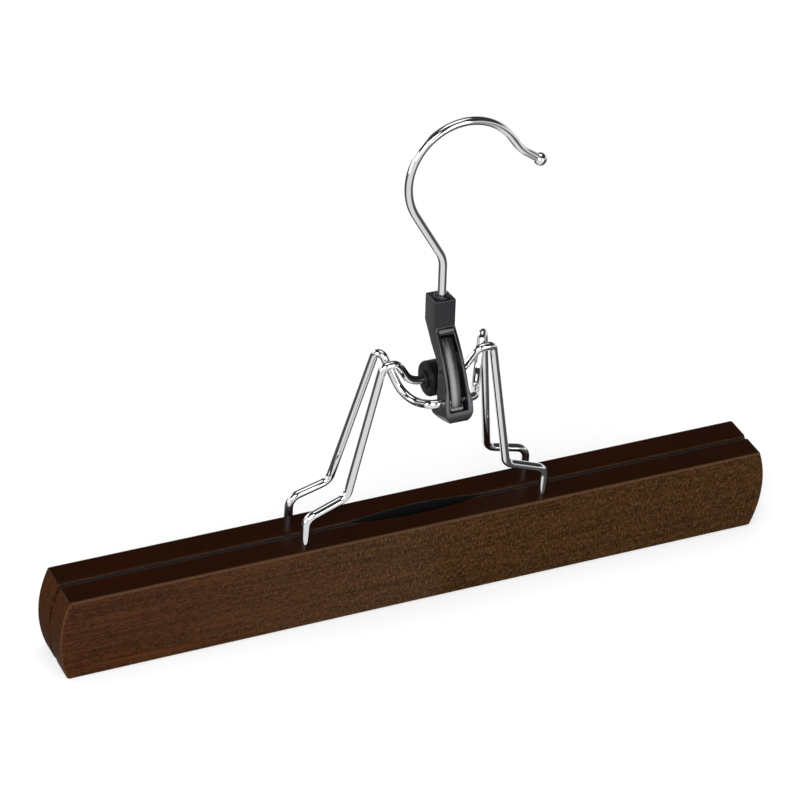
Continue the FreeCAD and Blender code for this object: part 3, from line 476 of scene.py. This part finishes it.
def makeStudio(p):
    world = bpy.data.worlds.new("studio")
    scene.world = world
    world.use_nodes = True
    tree = world.node_tree
    tree.nodes.clear()
    rays = addNode(tree, "ShaderNodeLightPath", {}, {})
    way = addNode(tree, "ShaderNodeTexCoord", {}, {}).outputs["Generated"]
    rise = addNode(tree, "ShaderNodeSeparateXYZ", {}, {"Vector": way})
    overhead = addNode(tree, "ShaderNodeMapRange", {"interpolation_type": "SMOOTHSTEP"}, {
        "Value": rise.outputs["Z"], "From Min": p["wallTop"], "From Max": p["ceilingStart"],
        "To Min": p["wall"], "To Max": p["ceiling"]})
    mirrored = addNode(tree, "ShaderNodeMath", {"operation": "MAXIMUM"}, {
        0: rays.outputs["Is Glossy Ray"], 1: rays.outputs["Is Transmission Ray"]})
    reflected = addNode(tree, "ShaderNodeMix", {"data_type": "FLOAT"}, {
        "Factor": mirrored.outputs[0], "A": p["ambient"], "B": overhead.outputs["Result"]})
    level = addNode(tree, "ShaderNodeMix", {"data_type": "FLOAT"}, {
        "Factor": rays.outputs["Is Camera Ray"], "A": reflected.outputs["Result"], "B": 1})
    sky = addNode(tree, "ShaderNodeBackground", {}, {
        "Color": linear(p["white"]), "Strength": level.outputs["Result"]})
    addNode(tree, "ShaderNodeOutputWorld", {}, {"Surface": sky.outputs[0]})


# soft boxes, in metres and watts
lamps = {
    "key": {"place": (-0.7, -1.1, 0.9), "target": (0, 0, 0.06), "width": 0.9, "height": 0.9, "power": 13},
    "fill": {"place": (0.42, -1.31, 0.5), "target": (0, 0, 0.09), "width": 0.4, "height": 1, "power": 7},
    "top": {"place": (0.1, 0.2, 1.5), "target": (0, 0, 0.06), "width": 1, "height": 1, "power": 5},
    "back": {"place": (-0.9, 1.25, 0.6), "target": (0, 0, 0.06), "width": 0.7, "height": 0.7, "power": 5},
    "side": {"place": (-1.35, -0.15, 0.5), "target": (0, 0, 0.05), "width": 0.35, "height": 0.8, "power": 6},
}


def addLamp(name, p):
    lamp = bpy.data.lights.new(name, "AREA")
    lamp.shape = "RECTANGLE"
    lamp.size = p["width"]
    lamp.size_y = p["height"]
    lamp.energy = p["power"]
    holder = bpy.data.objects.new(name, lamp)
    scene.collection.objects.link(holder)
    holder.location = p["place"]
    aim = Vector(p["target"]) - Vector(p["place"])
    holder.rotation_euler = aim.to_track_quat("-Z", "Y").to_euler()


# camera fitted to the bars' corners and the wire bends: degrees, mm from the origin, and a focal length
# in pixels before the enlargement by zoom
view = {
    "azimuth": -27.69, "elevation": 34.5, "roll": 5.01, "distance": 1211, "sideways": 2.9, "upwards": -59.24,
    "focal": 1813, "zoom": 2.05, "imageWidth": 800, "sensorWidth": 36, "clipEnd": 50,
}


def addCamera(p):
    azimuth, elevation, roll = (math.radians(p[key]) for key in ("azimuth", "elevation", "roll"))
    level = Vector((math.sin(azimuth), -math.cos(azimuth), 0))
    back = level * math.cos(elevation) + Vector((0, 0, math.sin(elevation)))
    right = Vector((math.cos(azimuth), math.sin(azimuth), 0))
    up = back.cross(right)
    rolledRight = right * math.cos(roll) + up * math.sin(roll)
    rolledUp = up * math.cos(roll) - right * math.sin(roll)
    eye = back * p["distance"] - rolledRight * p["sideways"] - rolledUp * p["upwards"]
    lens = bpy.data.cameras.new("camera")
    lens.sensor_width = p["sensorWidth"]
    lens.lens = p["focal"] * p["zoom"] / p["imageWidth"] * p["sensorWidth"]
    lens.clip_end = p["clipEnd"]
    camera = bpy.data.objects.new("camera", lens)
    scene.collection.objects.link(camera)
    turn = Matrix((rolledRight, rolledUp, back)).transposed()
    camera.matrix_world = Matrix.Translation(eye * mm) @ turn.to_4x4()
    scene.camera = camera


makeSweep(paperSweep)
makeStudio(studio)
for lampName, settings in lamps.items():
    addLamp(lampName, settings)
addCamera(view)
print("stage set")

bpy.context.view_layer.update()
